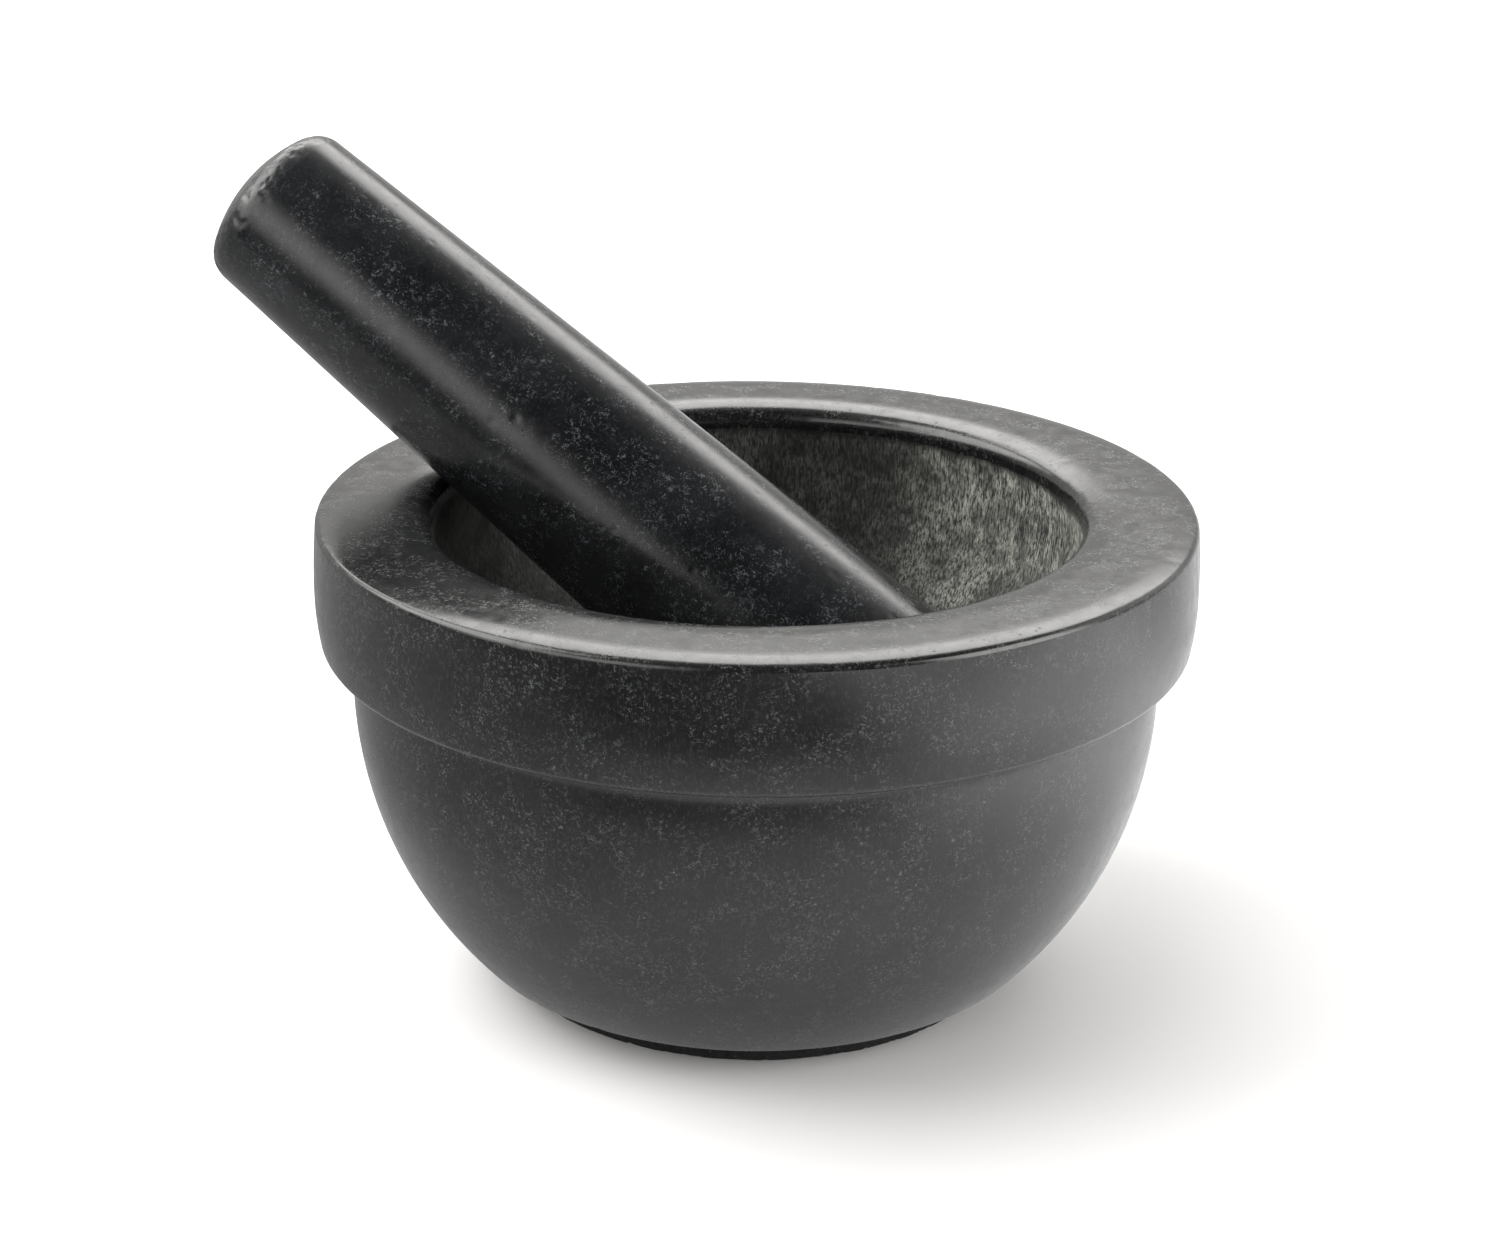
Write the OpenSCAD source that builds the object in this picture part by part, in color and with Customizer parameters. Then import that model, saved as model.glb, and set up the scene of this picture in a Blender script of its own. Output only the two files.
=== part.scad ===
// Stone mortar and pestle: a turned bowl with a raised band round its rim, a tapered
// pestle that leans in it, and a foam pad stuck under the foot.
// Millimetres. Origin: centre of the pad's underside, on the table. +Z is up, and the
// pestle leans towards -X in the XZ plane.

/* [Bowl outside] */
// Diameter across the rim band, the widest part
rim_d = 140; // [139:0.5:140.5]
// Height from the table to the flat top of the rim
total_h = 77.7; // [76:0.1:81]
// Radius of the ball that the outside of the bowl follows
ball_r = 64.5; // [64:0.25:65]
// How far the ball's centre lies below the rim
ball_drop = 28.2; // [27:0.1:30]

/* [Rim band] */
// Height of the widest part of the band, measured down from the rim
band_side = 12.2; // [11:0.1:14]
// Radius of the band's nearly straight side above its widest part
face_round = 118; // [60:1:150]
// Radius of the band's gently rounded side below its widest part
band_round = 41; // [36:0.5:46]
// Angle that the side turns inward before the band's lower corner starts
band_turn = 10; // [8:0.5:13]
// Radius of the band's lower corner
band_corner = 1.5; // [1:0.1:2]
// Radius of the crease between the band and the bowl
crease_round = 3; // [2:0.1:4]
// Radius of the gentle shoulder at the rim's outer edge
shoulder_round = 16; // [12:0.5:20]
// Radius of the corner between the shoulder and the band's side
corner_round = 1.2; // [0.8:0.1:2]
// Angle that the shoulder drops to before the corner starts
shoulder_turn = 12; // [8:1:15]

/* [Mouth and hollow] */
// Diameter of the mouth, which is also the diameter of the round hollow
mouth_d = 103; // [98:0.5:105]
// Radius of the gentle slope between the flat rim and the lip
slope_round = 18; // [12:0.5:24]
// Angle that the slope drops to before the lip starts
slope_turn = 15; // [8:1:20]
// Radius of the mouth's rounded lip
lip_round = 2.5; // [2:0.1:4]
// Depth below the rim at which the straight wall ends and the hollow turns round
straight_depth = 7; // [5:0.1:9]

/* [Foot and pad] */
// Radius of the edge between the bowl and its flat foot
foot_round = 1.5; // [1:0.1:3]
// Diameter of the foam pad
pad_d = 82; // [74:0.5:88]
// Thickness of the foam pad
pad_t = 4.7; // [3:0.1:6]
// Thickness of the adhesive film that holds the pad
film_t = 0.3; // [0.2:0.05:0.5]
// How far the adhesive film stays inside the pad's edge
film_inset = 0.5; // [0.2:0.1:2]
// Radius of the pad's cut edges
pad_round = 0.6; // [0.3:0.1:1]

/* [Pestle] */
// Length from tip to tip
pestle_l = 149.5; // [144:0.5:156]
// Diameter at the grinding end, where the tapered side would reach the tip
butt_d = 39.5; // [36:0.5:42]
// Diameter at the grip end, where the tapered side would reach the tip
grip_d = 28; // [25:0.5:30]
// Radius of the domed grinding end
butt_dome = 26; // [24:0.5:30]
// Radius of the rounded edge of the grinding end
butt_edge = 8; // [5:0.5:10]
// Radius of the domed grip end
grip_dome = 26; // [24:0.5:32]
// Radius of the rounded edge of the grip end
grip_edge = 4.5; // [3:0.5:6]
// Angle between the leaning pestle and the table
lean = 36; // [34:0.2:40]
// Space left between the pestle and the bowl where they touch
gap = 0.25; // [0.2:0.05:0.4]

/* [Hidden] */
$fn = 128;
arc_gap = 0.01;
stone = [0.16, 0.165, 0.165];
foam = [0.07, 0.07, 0.07];
film = [0.75, 0.74, 0.68];

// Heights of the bowl's main levels above the table
foot_z = pad_t + film_t;
ball_z = total_h - ball_drop;
band_z = total_h - band_side;
hollow_z = total_h - straight_depth;

// Radii from the bowl's axis
rim_r = rim_d / 2;
mouth_r = mouth_d / 2;

// Centres of the lip and of the slope above it
lip_a = 90 + slope_turn;
lip_r = mouth_r + lip_round;
lip_z = total_h - slope_round + (slope_round - lip_round) * sin(lip_a);
lip_c = [lip_r, lip_z];
slope_c = lip_c - (slope_round - lip_round) * [cos(lip_a), sin(lip_a)];

// Centres of the band's side, its lower corner and the crease, and where they join
band_c = [rim_r - band_round, band_z];
lower_c = band_c + (band_round - band_corner) * [cos(band_turn), -sin(band_turn)];
ball_c = [0, ball_z];
crease_c = meet(ball_c, ball_r + crease_round, lower_c, band_corner + crease_round);
crease_ball_a = angle_of(crease_c - ball_c);
crease_band_a = angle_of(crease_c - lower_c);

// Centres of the shoulder, the corner and the band's side above its widest part
corner_a = 90 - shoulder_turn;
shoulder_z = total_h - shoulder_round;
corner_z = shoulder_z + (shoulder_round - corner_round) * sin(corner_a);
face_c = [rim_r - face_round, band_z];
face_a = asin((corner_z - band_z) / (face_round - corner_round));
corner_c = face_c + (face_round - corner_round) * [cos(face_a), sin(face_a)];
shoulder_c = corner_c - (shoulder_round - corner_round) * [cos(corner_a), sin(corner_a)];

// Centre of the foot's edge, where it touches both the ball and the flat foot
foot_edge_z = foot_z + foot_round;
foot_edge_r = sqrt(pow(ball_r - foot_round, 2) - pow(ball_z - foot_edge_z, 2));
foot_c = [foot_edge_r, foot_edge_z];

// Taper of the pestle's side
taper = (butt_d - grip_d) / 2 / pestle_l;
taper_a = atan(taper);
butt_dome_c = [0, butt_dome];
grip_dome_c = [0, pestle_l - grip_dome];
butt_edge_c = edge_centre(butt_dome, butt_dome, butt_edge, -1);
grip_edge_c = edge_centre(pestle_l - grip_dome, grip_dome, grip_edge, 1);

// The leaning pestle: its underside clears the lip by gap, and its dome the hollow
side_a = lean + taper_a;
side_normal = [-sin(side_a), -cos(side_a)];
side_down = [cos(side_a), -sin(side_a)];
side_reach = (butt_d / 2 - taper * butt_dome) * cos(taper_a);
lip_start = [-lip_r, lip_z] - (side_reach + gap + lip_round) * side_normal;
from_hollow = lip_start - [0, hollow_z];
dome_reach = mouth_r - butt_dome - gap;
along = from_hollow * side_down;
slide_down = -along + sqrt(along * along - from_hollow * from_hollow + dome_reach * dome_reach);
butt_dome_at = lip_start + slide_down * side_down;
pestle_tip = butt_dome_at + butt_dome * [cos(lean), -sin(lean)];

// Points along an arc about c from angle a0 to angle a1, never arc_gap off the true arc
function arc(c, r, a0, a1) =
    let (n = max(4, ceil(abs(a1 - a0) / (2 * acos(1 - arc_gap / r)))))
    [for (i = [0:n]) let (a = a0 + (a1 - a0) * i / n) c + r * [cos(a), sin(a)]];

function angle_of(v) = atan2(v.y, v.x);

// The lower of the two points at distance r0 from c0 and r1 from c1
function meet(c0, r0, c1, r1) =
    let (d = norm(c1 - c0), u = (c1 - c0) / d, s = (r0 * r0 - r1 * r1 + d * d) / (2 * d))
    c0 + s * u + sqrt(r0 * r0 - s * s) * [u.y, -u.x];

// Centre of an edge arc of radius e that touches the pestle's side and the dome of
// radius r about height c; way is 1 for the upper end and -1 for the lower end
function edge_centre(c, r, e, way) =
    let (q = butt_d / 2 - e / cos(taper_a), k = 1 + taper * taper, b = q * taper + c)
    let (h = (b + way * sqrt(b * b - k * (q * q + c * c - pow(r - e, 2)))) / k)
    [q - taper * h, h];

// Half section of the bowl, from the middle of the foot out, up and back down inside
bowl_outline = concat(
    [[0, foot_z]],
    arc(foot_c, foot_round, -90, angle_of(foot_c - ball_c)),
    arc(ball_c, ball_r, angle_of(foot_c - ball_c), crease_ball_a),
    arc(crease_c, crease_round, 180 + crease_ball_a, 180 + crease_band_a),
    arc(lower_c, band_corner, crease_band_a, -band_turn),
    arc(band_c, band_round, -band_turn, 0),
    arc(face_c, face_round, 0, face_a),
    arc(corner_c, corner_round, face_a, corner_a),
    arc(shoulder_c, shoulder_round, corner_a, 90),
    arc(slope_c, slope_round, 90, lip_a),
    arc(lip_c, lip_round, lip_a, 180),
    arc([0, hollow_z], mouth_r, 0, -90)
);

// Half section of the pestle, standing on its grinding end
pestle_outline = concat(
    arc(butt_dome_c, butt_dome, -90, angle_of(butt_edge_c - butt_dome_c)),
    arc(butt_edge_c, butt_edge, angle_of(butt_edge_c - butt_dome_c), taper_a),
    arc(grip_edge_c, grip_edge, taper_a, angle_of(grip_edge_c - grip_dome_c)),
    arc(grip_dome_c, grip_dome, angle_of(grip_edge_c - grip_dome_c), 90)
);

// Half section of the pad
pad_outline = concat(
    [[0, 0]],
    arc([pad_d / 2 - pad_round, pad_round], pad_round, -90, 0),
    arc([pad_d / 2 - pad_round, pad_t - pad_round], pad_round, 0, 90),
    [[0, pad_t]]
);

// Turned stone bowl with its rim band, lip, hollow and flat foot
module mortar_bowl() {
    color(stone) rotate_extrude() polygon(bowl_outline);
}

// Adhesive film between the foot and the pad
module pad_adhesive() {
    color(film) translate([0, 0, pad_t]) cylinder(d = pad_d - 2 * pad_round - 2 * film_inset, h = film_t);
}

// Foam pad that the mortar stands on
module foot_pad() {
    color(foam) rotate_extrude() polygon(pad_outline);
}

// Tapered stone pestle, leaning on the lip with its dome in the hollow
module pestle() {
    color(stone)
        translate([pestle_tip.x, 0, pestle_tip.y])
            rotate([0, lean - 90, 0])
                rotate_extrude() polygon(pestle_outline);
}

mortar_bowl();
pad_adhesive();
foot_pad();
pestle();
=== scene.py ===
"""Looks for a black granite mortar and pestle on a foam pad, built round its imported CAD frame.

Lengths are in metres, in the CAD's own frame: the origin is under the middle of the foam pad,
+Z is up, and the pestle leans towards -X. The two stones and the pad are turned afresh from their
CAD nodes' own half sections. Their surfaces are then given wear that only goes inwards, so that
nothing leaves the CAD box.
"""

import math

import bpy
import numpy as np
from mathutils import Matrix, Vector, noise


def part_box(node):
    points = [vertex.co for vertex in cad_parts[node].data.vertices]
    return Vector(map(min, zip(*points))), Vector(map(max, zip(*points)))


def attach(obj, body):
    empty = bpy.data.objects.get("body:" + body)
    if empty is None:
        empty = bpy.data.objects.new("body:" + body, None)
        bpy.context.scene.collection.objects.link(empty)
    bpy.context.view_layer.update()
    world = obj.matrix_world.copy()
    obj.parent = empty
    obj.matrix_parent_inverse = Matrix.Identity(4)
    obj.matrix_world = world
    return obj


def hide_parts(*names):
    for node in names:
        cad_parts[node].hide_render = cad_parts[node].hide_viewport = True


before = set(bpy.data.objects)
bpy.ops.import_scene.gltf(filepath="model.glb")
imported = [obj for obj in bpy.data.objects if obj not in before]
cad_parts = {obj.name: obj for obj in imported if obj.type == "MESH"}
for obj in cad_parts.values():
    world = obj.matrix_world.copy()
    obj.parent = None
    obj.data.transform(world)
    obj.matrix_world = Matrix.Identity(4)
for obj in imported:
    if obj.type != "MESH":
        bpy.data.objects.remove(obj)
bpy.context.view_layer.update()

MM = 0.001

# Places that the rest is worked out from, and a radius that all of the hollow lies within
RIM_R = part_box("mortar_bowl")[1].x
RIM_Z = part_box("mortar_bowl")[1].z
PAD_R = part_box("foot_pad")[1].x
INSIDE_R = RIM_R * 0.79

# The camera: a 73 mm lens that looks down into the bowl from the front right
CAMERA_TURN = math.radians(18.33)
CAMERA_AWAY = 453.25 * MM
CAMERA_RISE = 153.40 * MM
CAMERA_YAW = math.radians(0.124)
CAMERA_PITCH = math.radians(20.936)
CAMERA_ROLL = math.radians(0.508)
CAMERA_LENS = 72.53
CAMERA_SENSOR = 36

# Fineness of the turned meshes: how many sides each has round its axis, how far apart its rows
# are where the curve is straight, and how far the curve may turn from one row to the next
BOWL_SEGMENTS = 450
BOWL_ROW = 1.5 * MM
PESTLE_SEGMENTS = 260
PESTLE_ROW = 0.5 * MM
PAD_SEGMENTS = 440
PAD_ROW = 0.5 * MM
ROW_TURN = math.radians(7)

# The studio's soft panels: azimuth of the middle from the camera's side, half width, lowest and
# highest elevation, softness of the edges (all degrees), and brightness
PANELS = (
    (178, 42, 25, 49, 5, 4.3),
    (68, 20, -3, 42, 6, 6.0),
    (112, 24, 8, 44, 8, 0.9),
    (-98, 30, 24, 64, 7, 5.5),
    (-50, 26, 4, 40, 12, 2.7),
)
FLOOR_TONE = 0.8
FLOOR_HALF = 3.0

# The overhead fill: its size, height, distance to the camera's left, and power
FILL_SIZE = 1.4
FILL_HEIGHT = 1.2
FILL_LEFT = 0.5
FILL_POWER = 11

# Way from the bowl's axis to the side of the hollow that the lamps light best, which is painted palest as
# painted light
PAINTED_LIT_SIDE = math.radians(28)

# Heights inside the mouth between which the polished lip gives way to the rough-ground hollow
LIP_LOW = RIM_Z - 5.4 * MM
LIP_HIGH = RIM_Z - 3.6 * MM


# ---------------------------------------------------------------- turned meshes


def half_section(node, place):
    """A turned CAD node's half section: (radius, height) points in order, from its underside.
    place is the frame whose Z axis is the node's own axis."""
    to_local = place.inverted()
    tolerance = 2e-6
    seam = set()
    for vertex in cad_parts[node].data.vertices:
        p = to_local @ vertex.co
        if abs(p.y) < tolerance and p.x > -tolerance:
            seam.add((round(max(p.x, 0), 5), round(p.z, 5)))
    path = [min(seam, key=lambda p: (p[1], p[0]))]
    seam.remove(path[0])
    while seam:
        path.append(min(seam, key=lambda p: math.dist(p, path[-1])))
        seam.remove(path[-1])
    if path[0][0] > 0:
        path.insert(0, (0, path[0][1]))
    if path[-1][0] > 0:
        path.append((0, path[-1][1]))
    return np.array(path)


def smooth_curve(path, per_step=16):
    """Points of the smooth curve through a half section that starts and ends flat on its axis."""
    steps = np.diff(path, axis=0)
    lengths = np.linalg.norm(steps, axis=1)[:, None]
    pull = steps * lengths
    tangents = np.vstack([[[1, 0]], pull[:-1] + pull[1:], [[-1, 0]]])
    tangents = tangents / np.linalg.norm(tangents, axis=1)[:, None]
    t = (np.arange(per_step) / per_step)[:, None, None]
    curve = (
        (2 * t**3 - 3 * t**2 + 1) * path[:-1]
        + (t**3 - 2 * t**2 + t) * lengths * tangents[:-1]
        + (3 * t**2 - 2 * t**3) * path[1:]
        + (t**3 - t**2) * lengths * tangents[1:]
    )
    return np.vstack([curve.transpose(1, 0, 2).reshape(-1, 2), path[-1:]])


def rows_along(path, row):
    """Rows for a turned mesh: points along the curve, row apart or closer where it bends,
    with the outward normal and the bend (radians per metre, over 0 on an outer edge) at each."""
    curve = smooth_curve(path)
    steps = np.diff(curve, axis=0)
    lengths = np.linalg.norm(steps, axis=1)
    angles = np.unwrap(np.arctan2(steps[:, 1], steps[:, 0]))
    turns = np.diff(angles, prepend=angles[0])
    gone = np.concatenate([[0], np.cumsum(lengths / row + np.abs(turns) / ROW_TURN)])
    wanted = np.linspace(0, gone[-1], math.ceil(gone[-1]))
    points = np.column_stack([np.interp(wanted, gone, curve[:, i]) for i in (0, 1)])
    middles = (gone[:-1] + gone[1:]) / 2
    heading = np.interp(wanted, middles, angles)
    normals = np.column_stack([np.sin(heading), -np.cos(heading)])
    run = np.interp(wanted, gone, np.concatenate([[0], np.cumsum(lengths)]))
    bend = np.gradient(heading, run)
    return points, normals, bend


def fractal(points, size, octaves=3):
    """Smooth noise from about -1 to 1 at each point, with features of the given size."""
    return np.array([noise.fractal(Vector(p) / size, 1, 2, octaves) for p in points])


def pits(points, count, radius, depth, seed):
    """How deep small round pits reach at each point. They're scattered over the points evenly."""
    rng = np.random.default_rng(seed)
    deep = np.zeros(len(points))
    for centre in points[rng.integers(0, len(points), count)]:
        size = radius * rng.uniform(0.5, 1.3)
        away = np.linalg.norm(points - centre, axis=1) / size
        deep = np.maximum(deep, depth * rng.uniform(0.4, 1) * np.clip(1 - away**2, 0, 1))
    return deep


def turned_piece(name, node, body, place, row, segments, wear):
    """A piece turned from a CAD node's half section and given wear that only goes inwards. wear
    takes the points, the bends and the shares of the way along the half section, and gives how deep
    to wear at each point and the attributes to store there."""
    points, normals, bend = rows_along(half_section(node, place), row)
    ring = slice(1, len(points) - 1)
    angle = np.linspace(0, math.tau, segments, endpoint=False)
    around = np.column_stack([np.cos(angle), np.sin(angle)])

    def spun(rows):
        """Each (radial, axial) row turned round the axis, with the two ends kept as one point."""
        middle = np.concatenate(
            [
                rows[ring, None, :1] * around[None],
                np.broadcast_to(rows[ring, None, 1:], (len(rows) - 2, segments, 1)),
            ],
            axis=2,
        ).reshape(-1, 3)
        ends = [[0, 0, rows[0, 1]]], [[0, 0, rows[-1, 1]]]
        return np.vstack([ends[0], middle, ends[1]])

    co = spun(points)
    bends = np.concatenate([bend[:1], np.repeat(bend[ring], segments), bend[-1:]])
    rising = np.concatenate([[0], np.repeat(np.arange(1, len(points) - 1), segments), [len(points)]])
    depth, attributes = wear(co, bends, rising / len(points))
    co = co - spun(normals) * depth[:, None]

    last = len(co) - 1
    faces = [(0, 1 + (i + 1) % segments, 1 + i) for i in range(segments)]
    for r in range(len(points) - 3):
        a = 1 + r * segments
        b = a + segments
        for i in range(segments):
            j = (i + 1) % segments
            faces.append((a + i, a + j, b + j, b + i))
    a = last - segments
    faces += [(a + i, a + (i + 1) % segments, last) for i in range(segments)]

    mesh = bpy.data.meshes.new(name)
    mesh.from_pydata(co.tolist(), [], faces)
    mesh.shade_smooth()
    for label, values in attributes.items():
        mesh.attributes.new(label, "FLOAT", "POINT").data.foreach_set("value", values)
    mesh.transform(place)
    piece = bpy.data.objects.new(name, mesh)
    bpy.context.scene.collection.objects.link(piece)
    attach(piece, body)
    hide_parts(node)
    return piece


def fade(value, low, high):
    """0 below low, 1 above high, and smooth between."""
    t = np.clip((value - low) / (high - low), 0, 1)
    return t * t * (3 - 2 * t)


# ---------------------------------------------------------------- pieces


def bowl_wear(points, bends, along):
    """The bowl: hand-honed outside, small nicks on its edges, and a rough-ground hollow, whose
    side that the lamps light best is painted palest as painted light.
    """
    radius = np.hypot(points[:, 0], points[:, 1])
    inside = (radius < INSIDE_R) & (along > 0.5)
    ground = np.where(inside, 1 - fade(points[:, 2], LIP_LOW, LIP_HIGH), 0)
    # Painted light: the hollow is painted palest towards the side that the lamps light best
    sideways = math.cos(PAINTED_LIT_SIDE) * points[:, 0] + math.sin(PAINTED_LIT_SIDE) * points[:, 1]
    wear_and_painted_light = fade(sideways / np.maximum(radius, MM), 0.5, 0.85)
    edge = np.clip(bends * 2 * MM, 0, 1)
    honed = 0.05 * MM * (0.5 + 0.5 * fractal(points, 22 * MM))
    nicks = 0.04 * MM * edge * fade(fractal(points, 3.0 * MM), 0.2, 0.7)
    rough = 0.22 * MM * ground * (0.5 + 0.5 * fractal(points, 3.2 * MM, 4))
    holes = pits(points, 260, 0.9 * MM, 0.10 * MM, seed=3) * (1 - ground)
    depth = np.clip(honed, 0, None) + nicks + np.clip(rough, 0, None) + holes
    return depth, {"ground": ground, "wear_and_painted_light": wear_and_painted_light}


def pestle_wear(points, bends, along):
    """The pestle: honed along its length, and chipped and ground rough round its two ends."""
    edge = np.clip(bends * 3 * MM, 0, 1)
    honed = 0.06 * MM * (0.5 + 0.5 * fractal(points, 16 * MM))
    chips = 0.16 * MM * fade(edge, 0.2, 0.8) * fade(fractal(points, 1.8 * MM, 4), 0.1, 0.6)
    holes = pits(points, 120, 0.7 * MM, 0.10 * MM, seed=8)
    depth = np.clip(honed, 0, None) + chips + holes
    return depth, {"ground": 0.25 * fade(edge, 0.2, 0.9), "wear_and_painted_light": edge}


def pad_wear(points, bends, along):
    """The foam pad: open pores all over, and a side that was cut by hand and bulges a little."""
    side = fade(np.hypot(points[:, 0], points[:, 1]), PAD_R - 1.5 * MM, PAD_R - 0.3 * MM)
    cut = 0.25 * MM * side * (0.5 + 0.5 * fractal(points, 9 * MM))
    pores = 0.16 * MM * fade(fractal(points, 0.9 * MM, 2), 0.1, 0.6)
    return np.clip(cut, 0, None) + pores, {}


def pestle_place():
    """The pestle's own frame: its origin at the grinding tip and Z along its axis."""
    points = [v.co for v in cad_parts["pestle"].data.vertices]
    middle = sum(points, Vector()) / len(points)
    one = max(points, key=lambda p: (p - middle).length)
    other = max(points, key=lambda p: (p - one).length)
    grip, butt = sorted((one, other), key=lambda p: -p.z)
    z = (grip - butt).normalized()
    y = Vector((0, 1, 0))
    x = y.cross(z)
    place = Matrix((x, y, z)).transposed().to_4x4()
    place.translation = butt
    return place


# ---------------------------------------------------------------- node helpers


def add(tree, kind, inputs=None, **settings):
    """A node of the given kind. An input is a socket to link from or a plain value."""
    made = tree.nodes.new(kind)
    for key, value in settings.items():
        setattr(made, key, value)
    for key, value in (inputs or {}).items():
        if isinstance(value, bpy.types.NodeSocket):
            tree.links.new(value, made.inputs[key])
        else:
            made.inputs[key].default_value = value
    return made


def maths(tree, operation, *values):
    """The result of a maths operation on sockets or plain values."""
    return add(tree, "ShaderNodeMath", dict(enumerate(values)), operation=operation).outputs[0]


def ramp(tree, value, low, high, start=0.0, end=1.0):
    """value mapped smoothly from low..high to start..end."""
    inputs = {"Value": value, 1: low, 2: high, 3: start, 4: end}
    return add(tree, "ShaderNodeMapRange", inputs, interpolation_type="SMOOTHSTEP").outputs[0]


def blend(tree, share, first, second):
    """Two colours mixed by share."""
    inputs = {0: share, 6: first, 7: second}
    return add(tree, "ShaderNodeMix", inputs, data_type="RGBA").outputs[2]


def scaled(tree, vector, factors):
    """A vector with each of its three parts multiplied by its own factor."""
    return add(tree, "ShaderNodeMapping", {"Vector": vector, "Scale": factors}).outputs[0]


def cloud(tree, vector, size, detail=2.0, distortion=0.0, rough=0.5):
    """Noise from 0 to 1 with features of the given size."""
    inputs = {
        "Vector": vector,
        "Scale": 1 / size,
        "Detail": detail,
        "Distortion": distortion,
        "Roughness": rough,
    }
    return add(tree, "ShaderNodeTexNoise", inputs).outputs[0]


def crystals(tree, vector, size, share, low, high):
    """Irregular crystals in a share of the cells of the given size, from 0 to 1."""
    cells = add(tree, "ShaderNodeTexVoronoi", {"Vector": vector, "Scale": 1 / size})
    chance = add(tree, "ShaderNodeSeparateColor", {0: cells.outputs["Color"]})
    present = ramp(tree, chance.outputs[0], share, share * 0.9)
    body = ramp(tree, cells.outputs["Distance"], high, low)
    strength = maths(tree, "MULTIPLY_ADD", chance.outputs[1], 0.7, 0.3)
    return maths(tree, "MULTIPLY", maths(tree, "MULTIPLY", body, present), strength)


def shifted(tree, vector, offset):
    """A vector moved by another one."""
    return add(tree, "ShaderNodeVectorMath", {0: vector, 1: offset}, operation="ADD").outputs[0]


def rgb(red, green, blue):
    """A plain colour for a node's input."""
    return (red, green, blue, 1)


# ---------------------------------------------------------------- materials


def new_material(name):
    """A material with its node tree, which holds only a shader and the output."""
    material = bpy.data.materials.new(name)
    material.use_nodes = True
    tree = material.node_tree
    tree.nodes.clear()
    shader = add(tree, "ShaderNodeBsdfPrincipled")
    output = add(tree, "ShaderNodeOutputMaterial")
    tree.links.new(shader.outputs[0], output.inputs[0])
    return material, tree, shader


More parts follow.
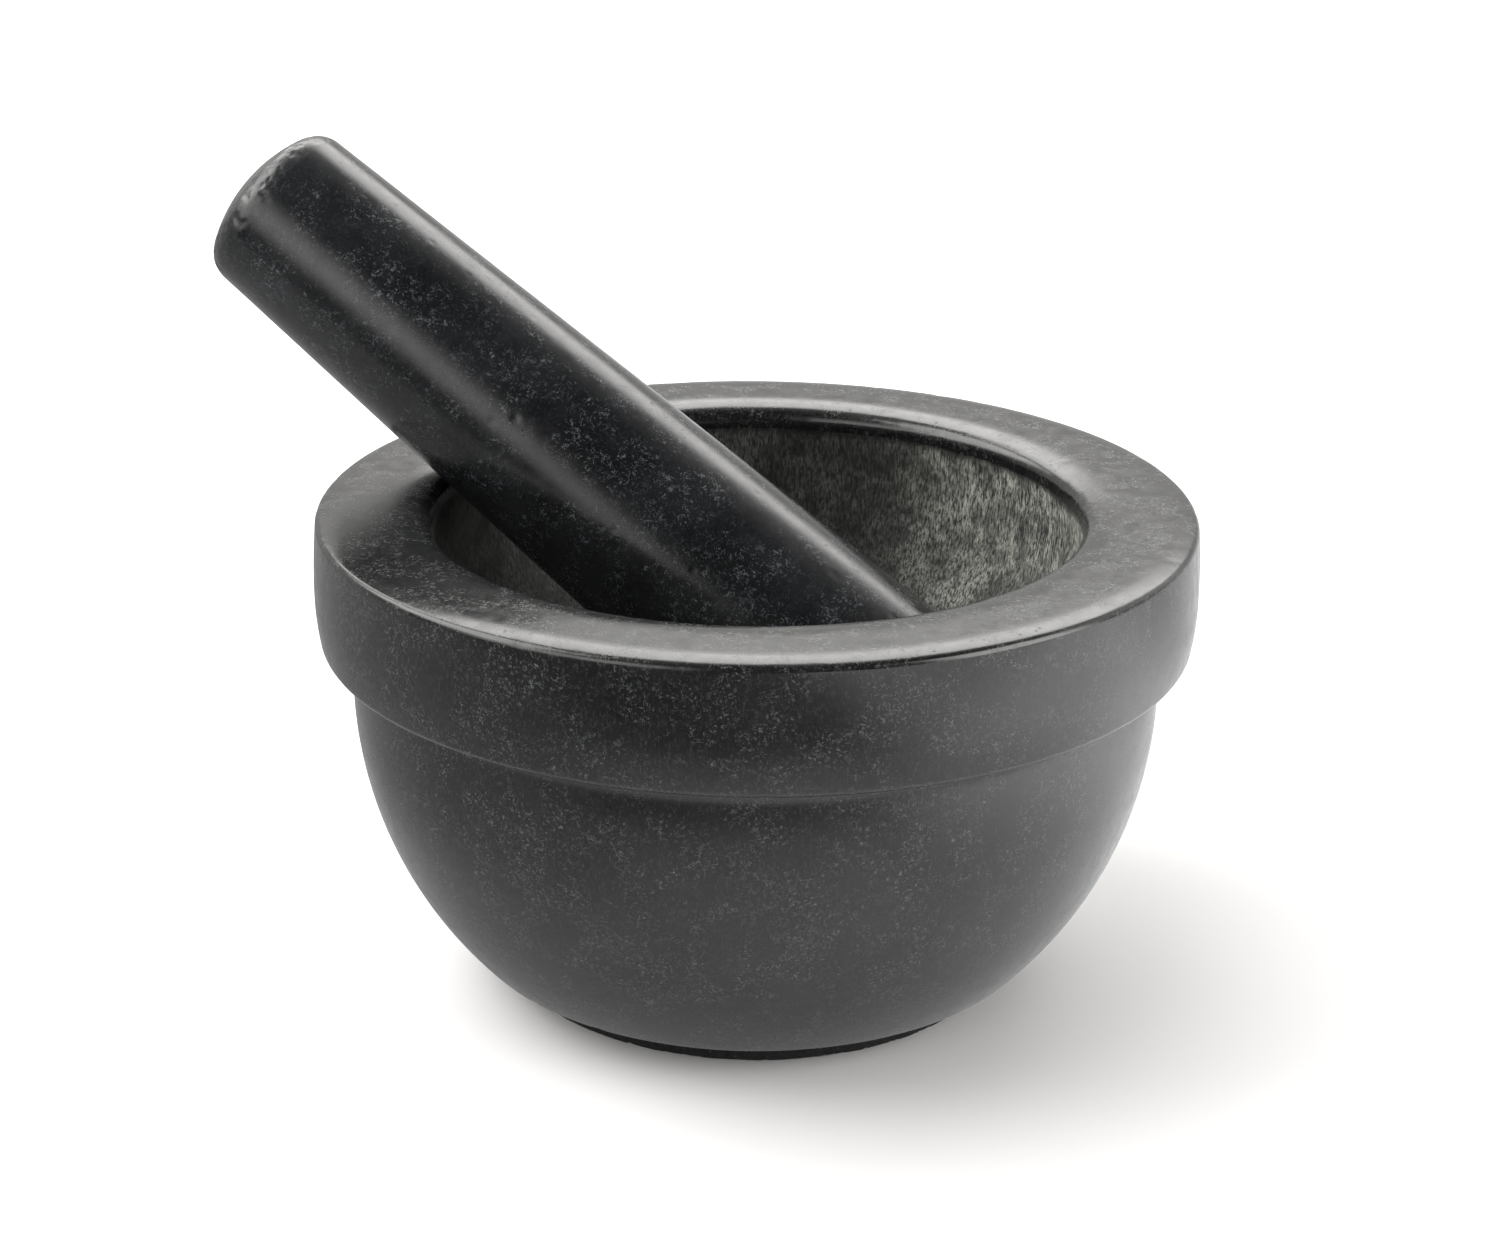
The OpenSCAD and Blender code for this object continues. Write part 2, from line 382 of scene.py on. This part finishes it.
def granite(name, dark, light, fleck, flake, ground_colour, streak, polish, seed):
    """Black granite: mottled from dark to light, with pale marks in clusters, grain and small holes.
    flake is the size of the pale flakes, streak stretches the grain along the axes where it's
    under 1, polish is the least roughness, and seed moves the pattern. The parts with a "ground"
    attribute are rough, and are palest where their second attribute is 1: on the pestle's chipped
    ends, and on the bowl as painted light, on the side of the hollow that the lamps light best."""
    material, tree, shader = new_material(name)
    own = add(tree, "ShaderNodeTexCoord").outputs["Object"]
    place = shifted(tree, own, (seed, seed, seed))
    ground = add(tree, "ShaderNodeAttribute", attribute_name="ground").outputs["Fac"]
    wear_and_painted_light = add(tree, "ShaderNodeAttribute", attribute_name="wear_and_painted_light").outputs["Fac"]

    jitter = add(tree, "ShaderNodeTexNoise", {"Vector": place, "Scale": 1 / (0.7 * MM), "Detail": 2})
    jitter = shifted(tree, jitter.outputs["Color"], (-0.5, -0.5, -0.5))
    jitter = add(tree, "ShaderNodeVectorMath", {0: jitter, "Scale": 1.1 * MM}, operation="SCALE")
    ragged = shifted(tree, place, jitter.outputs[0])

    mottle = cloud(tree, place, 14 * MM, detail=6, rough=0.65)
    grain = cloud(tree, scaled(tree, place, streak), 0.35 * MM, detail=3, rough=0.7)
    clusters = ramp(tree, cloud(tree, place, 6 * MM, detail=4, distortion=0.6), 0.38, 0.62, 0.15, 1)
    dots = maths(tree, "MULTIPLY", crystals(tree, ragged, 0.42 * MM, 0.38, 0.10, 0.42), 0.8)
    flakes = ramp(tree, cloud(tree, ragged, flake, detail=4, rough=0.75), 0.585, 0.66)
    curl = cloud(tree, place, 1.6 * MM, detail=4, distortion=1.2, rough=0.6)
    threads = ramp(tree, maths(tree, "ABSOLUTE", maths(tree, "SUBTRACT", curl, 0.5)), 0.014, 0.002)
    broken = ramp(tree, cloud(tree, place, 1.1 * MM, detail=1), 0.46, 0.60)
    threads = maths(tree, "MULTIPLY", threads, broken)
    marks = maths(tree, "MAXIMUM", dots, maths(tree, "MAXIMUM", flakes, threads))
    marks = maths(tree, "MULTIPLY", marks, clusters)

    base = blend(tree, ramp(tree, mottle, 0.3, 0.7), dark, light)
    base = blend(tree, ramp(tree, grain, 0.48, 0.78, 0, 0.22), base, fleck)
    base = blend(tree, marks, base, fleck)

    rough_grain = cloud(tree, scaled(tree, place, (1, 1, 0.22)), 0.36 * MM, detail=5, rough=0.8)
    blotch = ramp(tree, cloud(tree, place, 5 * MM, detail=5, rough=0.7), 0.35, 0.65, 0.25, 1)
    pale = maths(tree, "MULTIPLY", ramp(tree, rough_grain, 0.40, 0.62), blotch)
    # The rough-ground colour pales with this attribute: real wear on the pestle's chipped ends, painted
    # light on the bowl's lamp-lit side of the hollow
    pale = maths(tree, "MULTIPLY", pale, ramp(tree, wear_and_painted_light, 0, 1, 0.28, 1))
    cut = blend(tree, pale, dark, ground_colour)
    base = blend(tree, ground, base, cut)

    cells = add(tree, "ShaderNodeTexVoronoi", {"Vector": ragged, "Scale": 1 / (2.2 * MM)})
    chance = add(tree, "ShaderNodeSeparateColor", {0: cells.outputs["Color"]}).outputs[2]
    present = ramp(tree, chance, 0.25, 0.2)
    hole = maths(tree, "MULTIPLY", ramp(tree, cells.outputs["Distance"], 0.10, 0.05), present)
    base = blend(tree, maths(tree, "MULTIPLY", hole, 0.8), base, rgb(0.004, 0.004, 0.004))
    tree.links.new(base, shader.inputs["Base Color"])

    honed = ramp(tree, cloud(tree, place, 3 * MM, detail=5, rough=0.7), 0.3, 0.7, polish, polish + 0.10)
    honed = maths(tree, "MULTIPLY_ADD", marks, 0.15, honed)
    rough = maths(tree, "ADD", honed, maths(tree, "MULTIPLY", ground, 0.42))
    tree.links.new(rough, shader.inputs["Roughness"])
    shader.inputs["IOR"].default_value = 1.55

    relief = maths(tree, "MULTIPLY_ADD", grain, 0.25, maths(tree, "MULTIPLY", hole, -2.0))
    relief = maths(tree, "MULTIPLY_ADD", marks, -0.25, relief)
    relief = maths(tree, "MULTIPLY_ADD", maths(tree, "MULTIPLY", rough_grain, ground), 3.0, relief)
    inputs = {"Height": relief, "Strength": 0.5, "Distance": 0.05 * MM}
    tree.links.new(add(tree, "ShaderNodeBump", inputs).outputs[0], shader.inputs["Normal"])
    return material


def foam():
    """Black closed-cell foam with fine open pores and a little pale dust."""
    material, tree, shader = new_material("foam_pad")
    own = add(tree, "ShaderNodeTexCoord").outputs["Object"]
    pores = cloud(tree, own, 0.35 * MM, detail=3, rough=0.7)
    dust = crystals(tree, own, 0.8 * MM, 0.18, 0.08, 0.25)
    colour = blend(tree, ramp(tree, pores, 0.35, 0.7), rgb(0.006, 0.006, 0.006), rgb(0.022, 0.022, 0.022))
    colour = blend(tree, dust, colour, rgb(0.1, 0.1, 0.1))
    tree.links.new(colour, shader.inputs["Base Color"])
    shader.inputs["Roughness"].default_value = 0.9
    shader.inputs["Specular IOR Level"].default_value = 0.25
    bump = add(tree, "ShaderNodeBump", {"Height": pores, "Strength": 0.8, "Distance": 0.15 * MM})
    tree.links.new(bump.outputs[0], shader.inputs["Normal"])
    return material


def film():
    """Cloudy adhesive film with small bubbles."""
    material, tree, shader = new_material("adhesive_film")
    own = add(tree, "ShaderNodeTexCoord").outputs["Object"]
    streaks = cloud(tree, own, 6 * MM, detail=4)
    bubbles = crystals(tree, own, 1.6 * MM, 0.3, 0.1, 0.3)
    colour = blend(tree, streaks, rgb(0.42, 0.40, 0.33), rgb(0.6, 0.58, 0.5))
    tree.links.new(blend(tree, bubbles, colour, rgb(0.75, 0.74, 0.7)), shader.inputs["Base Color"])
    tree.links.new(ramp(tree, streaks, 0.3, 0.7, 0.3, 0.55), shader.inputs["Roughness"])
    bump = add(tree, "ShaderNodeBump", {"Height": bubbles, "Strength": 0.5, "Distance": 0.1 * MM})
    tree.links.new(bump.outputs[0], shader.inputs["Normal"])
    return material


# ---------------------------------------------------------------- stage


def toward_camera():
    """The level direction from the object to the camera."""
    return Matrix.Rotation(CAMERA_TURN, 3, "Z") @ Vector((0, -1, 0))


def build_camera():
    """The camera, aimed by its heading, its pitch below the level and its roll."""
    data = bpy.data.cameras.new("camera")
    data.lens = CAMERA_LENS
    data.sensor_width = CAMERA_SENSOR
    data.clip_start = 10 * MM
    camera = bpy.data.objects.new("camera", data)
    bpy.context.scene.collection.objects.link(camera)
    turn = Matrix.Rotation(CAMERA_TURN + CAMERA_YAW, 4, "Z")
    tilt = Matrix.Rotation(math.pi / 2 - CAMERA_PITCH, 4, "X")
    roll = Matrix.Rotation(CAMERA_ROLL, 4, "Z")
    camera.matrix_world = turn @ tilt @ roll
    camera.location = toward_camera() * CAMERA_AWAY + Vector((0, 0, RIM_Z + CAMERA_RISE))
    bpy.context.scene.camera = camera


def panel(tree, way, up, azimuth, half, low, high, soft, strength):
    """Light from a soft-edged panel of the surroundings. Azimuth 0 is the camera's side and
    positive to its right, and the panel reaches half its width to either side, in degrees."""
    centre = Matrix.Rotation(CAMERA_TURN + math.radians(azimuth), 3, "Z") @ Vector((0, -1, 0))
    along = add(tree, "ShaderNodeVectorMath", {0: way, 1: centre}, operation="DOT_PRODUCT").outputs["Value"]
    level = maths(tree, "SQRT", maths(tree, "SUBTRACT", 1.0, maths(tree, "MULTIPLY", up, up)))
    across = maths(tree, "DIVIDE", along, maths(tree, "MAXIMUM", level, 0.02))

    def edge(value, angle, function, sign):
        """A soft edge: 1 on the panel's side of the angle and 0 beyond it."""
        near, far = (function(math.radians(angle + sign * s)) for s in (soft, -soft))
        return ramp(tree, value, near, far)

    inside = edge(across, half, math.cos, 1)
    inside = maths(tree, "MULTIPLY", inside, edge(up, low, math.sin, -1))
    inside = maths(tree, "MULTIPLY", inside, edge(up, high, math.sin, 1))
    return maths(tree, "MULTIPLY", inside, strength)


def build_world():
    """Soft panels behind and on both sides of the object, and dark surroundings towards the
    camera. The camera itself sees plain white."""
    world = bpy.data.worlds.new("studio")
    bpy.context.scene.world = world
    world.use_nodes = True
    tree = world.node_tree
    tree.nodes.clear()
    way = add(tree, "ShaderNodeTexCoord").outputs["Generated"]
    up = add(tree, "ShaderNodeSeparateXYZ", {0: way}).outputs["Z"]
    facing = {0: way, 1: toward_camera()}
    front = add(tree, "ShaderNodeVectorMath", facing, operation="DOT_PRODUCT").outputs["Value"]
    level = ramp(tree, front, -0.65, 0.15, 0.7, 0.03)
    for azimuth, half, low, high, soft, strength in PANELS:
        light = panel(tree, way, up, azimuth, half, low, high, soft, strength)
        level = maths(tree, "ADD", level, light)
    seen = add(tree, "ShaderNodeLightPath").outputs["Is Camera Ray"]
    lit = add(tree, "ShaderNodeBackground", {"Color": rgb(1, 0.985, 0.965), "Strength": level})
    pale = add(tree, "ShaderNodeBackground", {"Color": rgb(1, 1, 1), "Strength": 1.0})
    mixed = add(tree, "ShaderNodeMixShader", {0: seen, 1: lit.outputs[0], 2: pale.outputs[0]})
    output = add(tree, "ShaderNodeOutputWorld")
    tree.links.new(mixed.outputs[0], output.inputs[0])


def build_fill():
    """A wide overhead light that evens out the floor. The stone doesn't mirror it."""
    data = bpy.data.lights.new("fill", "AREA")
    data.shape = "DISK"
    data.size = FILL_SIZE
    data.energy = FILL_POWER
    data.specular_factor = 0
    light = bpy.data.objects.new("fill", data)
    bpy.context.scene.collection.objects.link(light)
    to_left = toward_camera().cross(Vector((0, 0, 1)))
    light.location = to_left * FILL_LEFT + Vector((0, 0, FILL_HEIGHT))
    light.rotation_euler = light.location.to_track_quat("Z", "Y").to_euler()
    light.visible_glossy = False


def build_floor():
    """A plain pale floor. To the rays that the stone reflects it is instead a painted glow, brightest on
    the right, dimmest on the left, with painted shadow in the object's own shade, and falling off
    towards the camera."""
    mesh = bpy.data.meshes.new("floor")
    corners = [(x * FLOOR_HALF, y * FLOOR_HALF, 0) for x, y in ((-1, -1), (1, -1), (1, 1), (-1, 1))]
    mesh.from_pydata(corners, [], [(0, 1, 2, 3)])
    floor = bpy.data.objects.new("floor", mesh)
    bpy.context.scene.collection.objects.link(floor)
    material, tree, shader = new_material("pale_floor")
    shader.inputs["Base Color"].default_value = rgb(FLOOR_TONE, FLOOR_TONE, FLOOR_TONE)
    shader.inputs["Roughness"].default_value = 0.9
    shader.inputs["Specular IOR Level"].default_value = 0.1

    own = add(tree, "ShaderNodeTexCoord").outputs["Object"]
    to_right = Vector((0, 0, 1)).cross(toward_camera())

    def along(direction):
        """How far each point of the floor lies in the given direction."""
        facing = {0: own, 1: direction}
        return add(tree, "ShaderNodeVectorMath", facing, operation="DOT_PRODUCT").outputs["Value"]

    away = add(tree, "ShaderNodeVectorMath", {0: own}, operation="LENGTH").outputs["Value"]
    # Painted reflection: reflected rays see this glow instead of the lit floor, brightest on the right,
    # dimmest on the left and falling off towards the camera
    glow = ramp(tree, along(toward_camera()), 0.10, 0.24, 1.15, 0.25)
    glow = maths(tree, "MULTIPLY", glow, ramp(tree, along(to_right), -0.14, 0.06, 0.4, 1.0))
    beside = ramp(tree, along(toward_camera()), -0.12, 0.02, 0.0, 1.3)
    beside = maths(tree, "MULTIPLY", beside, ramp(tree, along(to_right), 0.06, 0.20))
    glow = maths(tree, "ADD", glow, beside)
    # Painted shadow: the glow is dimmed to about a third within 30 mm of the middle, easing back to full by
    # 90 mm, round the object's foot
    glow = maths(tree, "MULTIPLY", glow, ramp(tree, away, 0.03, 0.09, 0.35, 1.0))
    mirrored = add(tree, "ShaderNodeEmission", {"Strength": glow})
    reflected = add(tree, "ShaderNodeLightPath").outputs["Is Glossy Ray"]
    mixed = add(tree, "ShaderNodeMixShader", {0: reflected, 1: shader.outputs[0], 2: mirrored.outputs[0]})
    output = next(n for n in tree.nodes if n.type == "OUTPUT_MATERIAL")
    tree.links.new(mixed.outputs[0], output.inputs[0])
    mesh.materials.append(material)


# ---------------------------------------------------------------- the scene

build_camera()

bowl = turned_piece(
    "stone_bowl", "mortar_bowl", "mortar", Matrix.Identity(4), BOWL_ROW, BOWL_SEGMENTS, bowl_wear
)
pestle = turned_piece(
    "stone_pestle", "pestle", "pestle", pestle_place(), PESTLE_ROW, PESTLE_SEGMENTS, pestle_wear
)
pad = turned_piece(
    "foam_pad", "foot_pad", "mortar", Matrix.Identity(4), PAD_ROW, PAD_SEGMENTS, pad_wear
)

bowl.data.materials.append(
    granite(
        "bowl_stone",
        dark=rgb(0.0030, 0.0032, 0.0032),
        light=rgb(0.0075, 0.008, 0.0078),
        fleck=rgb(0.080, 0.090, 0.085),
        flake=0.55 * MM,
        ground_colour=rgb(0.38, 0.39, 0.345),
        streak=(1, 1, 0.35),
        polish=0.15,
        seed=0.0,
    )
)
pestle.data.materials.append(
    granite(
        "pestle_stone",
        dark=rgb(0.0035, 0.0037, 0.004),
        light=rgb(0.010, 0.0105, 0.0115),
        fleck=rgb(0.062, 0.07, 0.078),
        flake=0.95 * MM,
        ground_colour=rgb(0.09, 0.095, 0.095),
        streak=(1, 1, 1),
        polish=0.15,
        seed=0.37,
    )
)
pad.data.materials.append(foam())

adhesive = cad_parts["pad_adhesive"]
adhesive.data.materials.clear()
adhesive.data.materials.append(film())

build_world()
build_floor()
build_fill()

bpy.context.scene.view_settings.view_transform = "Standard"
